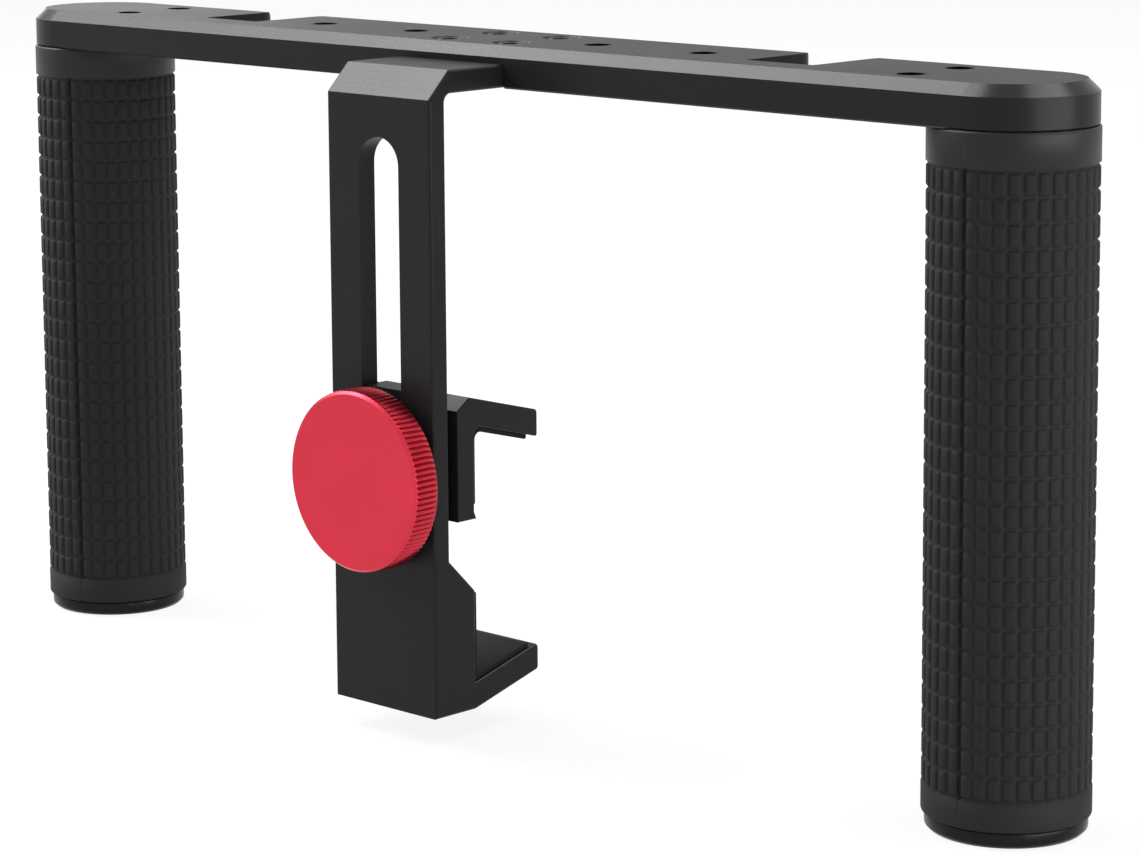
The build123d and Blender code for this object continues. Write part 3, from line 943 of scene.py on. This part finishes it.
def liner(name, upright, tongue, up, sizes):
    """One rubber liner: it runs along a jaw's upright face and round the corner to its tongue.

    up is 1 where the upright part stands above the tongue, and -1 where it hangs below. The
    outline is worked out in the plane of depth and height, and drawn out from side to side.
    """
    low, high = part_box(upright)
    tongue_low, tongue_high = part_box(tongue)
    thick = high.y - low.y
    rise = (tongue_high.z - tongue_low.z - thick) / (tongue_high.y - tongue_low.y)
    free_end = high.z + sizes.liner_reach if up > 0 else low.z
    wall = low.y
    tip = tongue_high.y
    # The tongue's own face meets the upright face at this height.
    root = (
        tongue_low.z - rise * (tongue_low.y - wall) if up > 0
        else tongue_high.z + rise * (tongue_low.y - wall)
    )
    metal_corner = Vector((wall, root))
    tip_metal = Vector((tip, root + up * rise * (tip - wall)))
    tip_shown = tip_metal + Vector((0, thick * up))
    foot = Vector((wall, free_end))
    foot_shown = Vector((wall + thick, free_end - up * sizes.liner_taper))
    shown_corner = Vector((wall + thick, root + up * (rise * thick + thick)))
    hidden = [metal_corner]
    if up < 0:
        hidden = rounded_corner(metal_corner, tip_metal, foot, sizes.metal_corner)
    rounding = sizes.pad_rounding
    # The profile's own corners stay round where the sides' rounding moves them inwards.
    end_rounding = 1.8 * rounding
    outline = (
        hidden + [foot] + rounded_corner(foot_shown, foot, shown_corner, end_rounding, 4)
        + rounded_corner(shown_corner, foot_shown, tip_shown, sizes.liner_corner)
        + rounded_corner(tip_shown, shown_corner, tip_metal, end_rounding, 4) + [tip_metal]
    )
    if up > 0:
        outline.reverse()
    # Each station from side to side, and how far the outline is moved inwards there.
    stations = [(low.x, 1.2 * rounding)]
    for turn in (0, radians(30), radians(60), radians(90)):
        stations.append((low.x + rounding * (1 - cos(turn)), rounding * (1 - sin(turn))))
    stations += [(low.x + high.x - x, depth) for x, depth in reversed(stations)]
    rings = [[(x, p.x, p.y) for p in inset(outline, depth)] for x, depth in stations]
    faces = bridged(rings)
    side_faces = flat_faces(rings[0])
    for first in (0, (len(rings) - 1) * len(outline)):
        faces += [tuple(first + point for point in face) for face in side_faces]
    return new_piece(name, points_of(rings), faces, radians(35))


def body_holding(node):
    """The body that a solid belongs to."""
    return frame["nodes"][node]["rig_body"]


# ------------------------------------------------------------------ operators
class CAGE_OT_metalwork(bpy.types.Operator):
    """Finish the bar, the bracket and the sliding jaw"""

    bl_idname = "cage.metalwork"
    bl_label = "Metalwork"

    def execute(self, context):
        for node in METALWORK:
            material = black_anodising(node + "_anodising", context.scene.cage_colours)
            paint(frame["nodes"][node], material)
        return {"FINISHED"}


class CAGE_OT_hardware(bpy.types.Operator):
    """Finish the bolts, washers, stud and tubes"""

    bl_idname = "cage.hardware"
    bl_label = "Hardware"

    def execute(self, context):
        colours = context.scene.cage_colours
        plated = plain_metal("zinc_plate", colours.plated_steel, 0.3)
        drawn = plain_metal("drawn_tube", colours.bare_aluminium, 0.34)
        for node in ("clamp_stud", "knob_washer"):
            paint(frame["nodes"][node], plated)
        for side in SIDES:
            paint(frame["nodes"][side + "_handle_bolt"], plated)
            paint(frame["nodes"][side + "_bolt_washer"], plated)
            paint(frame["nodes"][side + "_handle_core"], drawn)
        return {"FINISHED"}


class CAGE_OT_grips(bpy.types.Operator):
    """Build the two rubber grips"""

    bl_idname = "cage.grips"
    bl_label = "Grips"

    def execute(self, context):
        material = moulded_rubber("moulded_rubber", context.scene.cage_colours)
        for side in SIDES:
            node = side + "_grip_sleeve"
            piece = grip(side, context.scene.cage_grips)
            finished(piece, material, body_holding(node), "grip_rubber", node)
        return {"FINISHED"}


class CAGE_OT_caps(bpy.types.Operator):
    """Build the two end caps"""

    bl_idname = "cage.caps"
    bl_label = "End caps"

    def execute(self, context):
        material = glossy_plastic("cap_plastic", context.scene.cage_colours)
        for side in SIDES:
            node = side + "_end_cap"
            piece = cap(side, context.scene.cage_caps)
            finished(piece, material, body_holding(node), "cap_plastic", node)
        return {"FINISHED"}


class CAGE_OT_knob(bpy.types.Operator):
    """Build the knurled knob"""

    bl_idname = "cage.knob"
    bl_label = "Knob"

    def execute(self, context):
        material = red_anodising("red_anodising", context.scene.cage_colours)
        piece = knob(context.scene.cage_knob)
        finished(piece, material, body_holding("clamp_knob"), "red_anodised", "clamp_knob")
        return {"FINISHED"}


class CAGE_OT_threads(bpy.types.Operator):
    """Wind the threads in the tapped holes"""

    bl_idname = "cage.threads"
    bl_label = "Hole threads"

    def execute(self, context):
        piece = hole_threads(context.scene.cage_screws)
        material = thread_black("thread_black", context.scene.cage_colours)
        finished(piece, material, body_holding("bar"), "black_anodised")
        return {"FINISHED"}


class CAGE_OT_screws(bpy.types.Operator):
    """Build the bracket's four screws"""

    bl_idname = "cage.screws"
    bl_label = "Bracket screws"

    def execute(self, context):
        piece = bracket_screws(context.scene.cage_screws)
        material = black_oxide("black_oxide", context.scene.cage_colours)
        finished(piece, material, body_holding("arm_screws"), "black_steel", "arm_screws")
        return {"FINISHED"}


class CAGE_OT_liners(bpy.types.Operator):
    """Build the rubber liners of the two jaws"""

    bl_idname = "cage.liners"
    bl_label = "Jaw liners"

    def execute(self, context):
        material = sheet_rubber("sheet_rubber", context.scene.cage_colours)
        for name, upright, tongue, up in LINERS:
            piece = liner(name, upright, tongue, up, context.scene.cage_liners)
            finished(piece, material, body_holding(upright), "pad_rubber", upright, tongue)
        return {"FINISHED"}


def softbox(name, place, size, power, target):
    """A soft rectangular lamp that points at a target and that the camera doesn't see."""
    lamp = bpy.data.lights.new(name, "AREA")
    lamp.shape = "RECTANGLE"
    lamp.size, lamp.size_y = size
    lamp.energy = power
    holder = bpy.data.objects.new(name, lamp)
    holder.location = place
    holder.rotation_euler = (target - place).to_track_quat("-Z", "Y").to_euler()
    holder.visible_camera = False
    bpy.context.scene.collection.objects.link(holder)


def seen(finish):
    """1 for rays from the camera and for reflected and transmitted ones, and 0 for others."""
    rays = finish.node("ShaderNodeLightPath").outputs
    camera, glossy, transmitted = (
        Field(finish, rays[f"Is {kind} Ray"]) for kind in ("Camera", "Glossy", "Transmission")
    )
    return camera.at_least(glossy).at_least(transmitted)


def end_with_mix(finish, share, first, second, output):
    """Ends a material, or the world, in a mix of two shaders."""
    mixed = finish.node(
        "ShaderNodeMixShader", None, {0: share, 1: first.outputs[0], 2: second.outputs[0]}
    )
    finish.node(output, None, {"Surface": mixed.outputs[0]})


class CAGE_OT_stage(bpy.types.Operator):
    """Set up the floor, the light and the camera"""

    bl_idname = "cage.stage"
    bl_label = "Stage"

    def execute(self, context):
        settings = context.scene.cage_stage
        self.lay_floor(settings)
        self.light(context, settings)
        self.stand_camera(context, settings)
        context.scene.view_settings.view_transform = "Standard"
        return {"FINISHED"}

    def lay_floor(self, settings):
        half = settings.floor_size / 2
        corners = [(x * half, y * half, 0) for x, y in ((-1, -1), (1, -1), (1, 1), (-1, 1))]
        floor = new_piece("floor", corners, [(0, 1, 2, 3)])
        finish = new_finish("pale_floor")
        tone = opaque(settings.floor_colour)
        matt = finish.node("ShaderNodeBsdfDiffuse", None, {"Color": tone})
        white = finish.node("ShaderNodeEmission", None, {"Color": WHITE, "Strength": 1.0})
        share = seen(finish) * settings.floor_glow
        end_with_mix(finish, share, matt, white, "ShaderNodeOutputMaterial")
        paint(floor, finish.owner)
        floor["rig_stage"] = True

    def light(self, context, settings):
        world = bpy.data.worlds.new("studio")
        context.scene.world = world
        finish = Finish(world)
        even, backdrop = (
            finish.node("ShaderNodeBackground", None, {"Color": WHITE, "Strength": strength})
            for strength in (settings.sky_level, 1.0)
        )
        end_with_mix(finish, seen(finish), even, backdrop, "ShaderNodeOutputWorld")
        low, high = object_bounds()
        middle = (Vector(low) + Vector(high)) / 2
        for name, turn, rise, distance, size, power in LAMPS:
            direction = Vector((cos(rise) * sin(turn), -cos(rise) * cos(turn), sin(rise)))
            softbox(name, middle + distance * direction, size, power, middle)

    def stand_camera(self, context, settings):
        turn, tilt, roll = settings.camera_turn, settings.camera_tilt, settings.camera_roll
        level = Vector((-sin(turn), cos(turn), 0))
        right = Vector((cos(turn), sin(turn), 0))
        vertical = Vector((0, 0, 1))
        ahead = level * cos(tilt) - vertical * sin(tilt)
        above = level * sin(tilt) + vertical * cos(tilt)
        across = right * cos(roll) + above * sin(roll)
        upward = above * cos(roll) - right * sin(roll)
        lens = bpy.data.cameras.new("camera")
        lens.sensor_width = SENSOR_WIDTH
        lens.lens = settings.camera_lens
        lens.shift_y = settings.camera_shift
        camera = bpy.data.objects.new("camera", lens)
        camera.matrix_world = (
            Matrix.Translation(settings.camera_place)
            @ Matrix((across, upward, -ahead)).transposed().to_4x4()
        )
        context.scene.collection.objects.link(camera)
        context.scene.camera = camera


# ------------------------------------------------------------------ panel and registration
OPERATORS = (
    CAGE_OT_metalwork, CAGE_OT_hardware, CAGE_OT_grips, CAGE_OT_caps, CAGE_OT_knob,
    CAGE_OT_threads, CAGE_OT_screws, CAGE_OT_liners, CAGE_OT_stage,
)
GROUPS = {
    "cage_grips": GripSizes, "cage_knob": KnobSizes, "cage_caps": CapSizes,
    "cage_screws": ScrewSizes, "cage_liners": LinerSizes, "cage_colours": Colours,
    "cage_stage": StageSettings,
}


class CAGE_PT_panel(bpy.types.Panel):
    """Lists the cage's steps, sizes and colours"""

    bl_idname = "CAGE_PT_panel"
    bl_label = "Phone Cage"
    bl_space_type = "VIEW_3D"
    bl_region_type = "UI"
    bl_category = "Phone Cage"

    def draw(self, context):
        for operator in OPERATORS:
            self.layout.operator(operator.bl_idname)
        for name, group in GROUPS.items():
            column = self.layout.column(heading=group.__doc__)
            for size in group.__annotations__:
                column.prop(getattr(context.scene, name), size)


def register():
    for group in GROUPS.values():
        bpy.utils.register_class(group)
    for operator in OPERATORS:
        bpy.utils.register_class(operator)
    bpy.utils.register_class(CAGE_PT_panel)
    for name, group in GROUPS.items():
        setattr(bpy.types.Scene, name, PointerProperty(type=group))


def unregister():
    for name in GROUPS:
        delattr(bpy.types.Scene, name)
    bpy.utils.unregister_class(CAGE_PT_panel)
    for operator in reversed(OPERATORS):
        bpy.utils.unregister_class(operator)
    for group in reversed(list(GROUPS.values())):
        bpy.utils.unregister_class(group)


def main():
    register()
    bpy.ops.cage.metalwork()
    bpy.ops.cage.hardware()
    bpy.ops.cage.grips()
    bpy.ops.cage.caps()
    bpy.ops.cage.knob()
    bpy.ops.cage.threads()
    bpy.ops.cage.screws()
    bpy.ops.cage.liners()
    bpy.ops.cage.stage()


if __name__ == "__main__":
    main()
